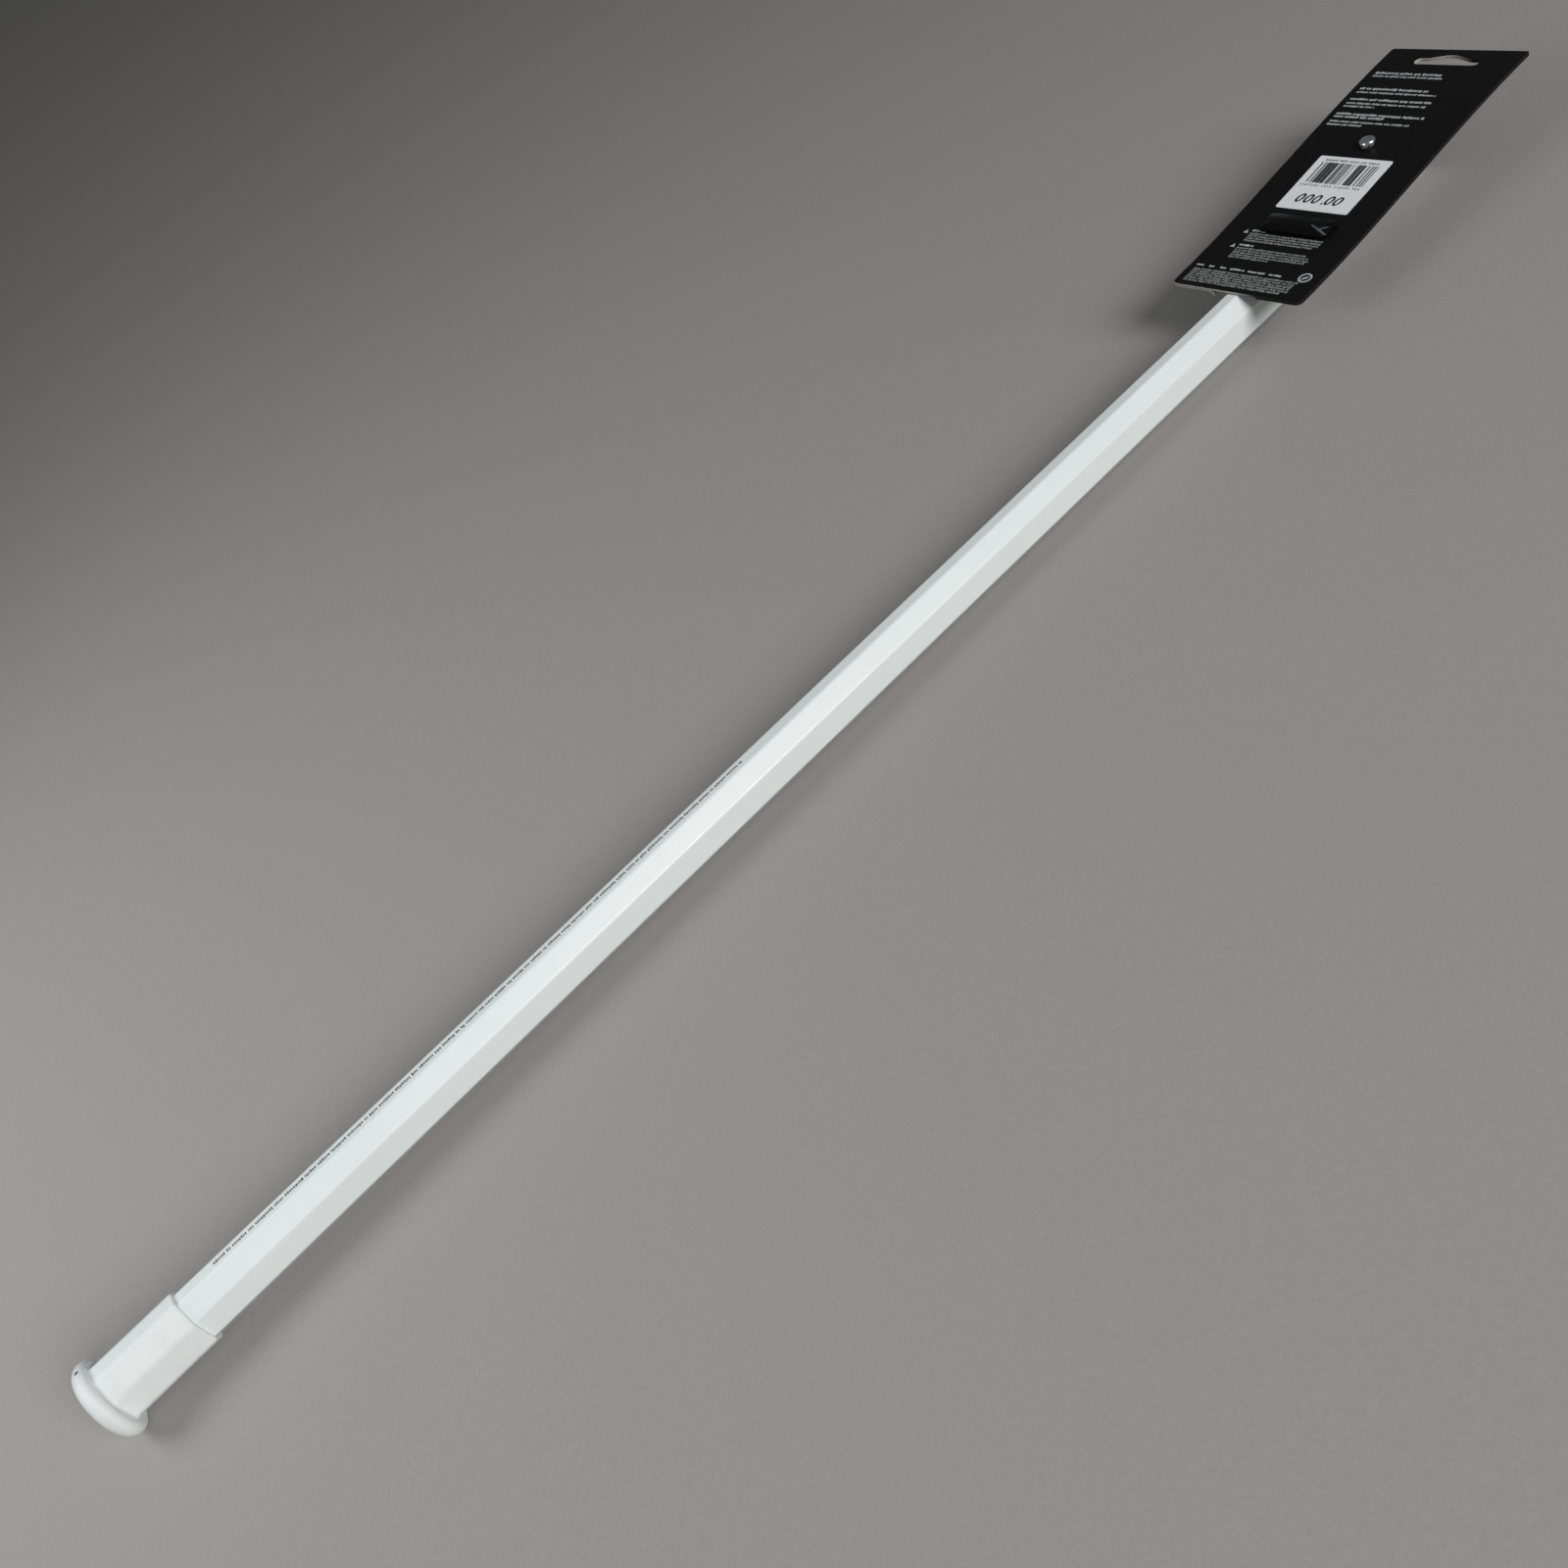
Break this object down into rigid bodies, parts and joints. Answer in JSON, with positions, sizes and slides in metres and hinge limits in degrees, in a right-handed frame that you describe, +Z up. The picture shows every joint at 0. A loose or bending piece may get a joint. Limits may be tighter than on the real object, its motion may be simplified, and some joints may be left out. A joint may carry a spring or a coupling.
{
  "type": "lacrosse shaft with header card",
  "caption": "White octagonal aluminium shaft with a rubber mushroom butt cap and a black hanging header card held near the head end by a pan head screw.",
  "frame": {"origin": "centre of the butt cap's flat end face, on the tube's axis", "axes": "+X along the tube from the butt to the head end, +Z up through the face that the header card lies over, +Y to the left"},
  "size_m": [0.8058, 0.0684, 0.0422],
  "materials": {
    "shaft_paint": "white satin enamel on aluminium",
    "cap_rubber": "white moulded rubber, matt",
    "screw_zinc": "bright zinc plate",
    "card_front": "black printed paperboard with pale cut edges",
    "card_back": "black paperboard, unvarnished",
    "label_paper": "white coated paper",
    "tag_plastic": "glossy black thermoformed film",
    "tag_foam": "matt adhesive foam",
    "tag_metal": "thin rolled strip"
  },
  "bodies": {
    "shaft": {"shaft_tube": "shaft_paint"},
    "cap": {"butt_cap": "cap_rubber"},
    "screw": {"head_screw": "screw_zinc"},
    "card": {"header_front_ply": "card_front", "header_back_ply": "card_back", "price_label": "label_paper", "tag_housing": "tag_plastic", "tag_adhesive_pad": "tag_foam", "tag_bias_magnet": "tag_metal", "tag_resonator_1": "tag_metal", "tag_resonator_2": "tag_metal"}
  },
  "joints": [
    {"name": "cap_pull", "type": "slide", "parent": "shaft", "child": "cap", "axis": [-1, 0, 0], "range_m": [0, 0.05]},
    {"name": "screw_withdraw", "type": "slide", "parent": "shaft", "child": "screw", "axis": [0, 0, 1], "range_m": [0, 0.03]},
    {"name": "card_swivel", "type": "hinge", "parent": "screw", "child": "card", "pos_m": [0.734, 0, 0.0205], "axis": [0, 0, 1], "range_deg": [-4, 2.5]}
  ]
}
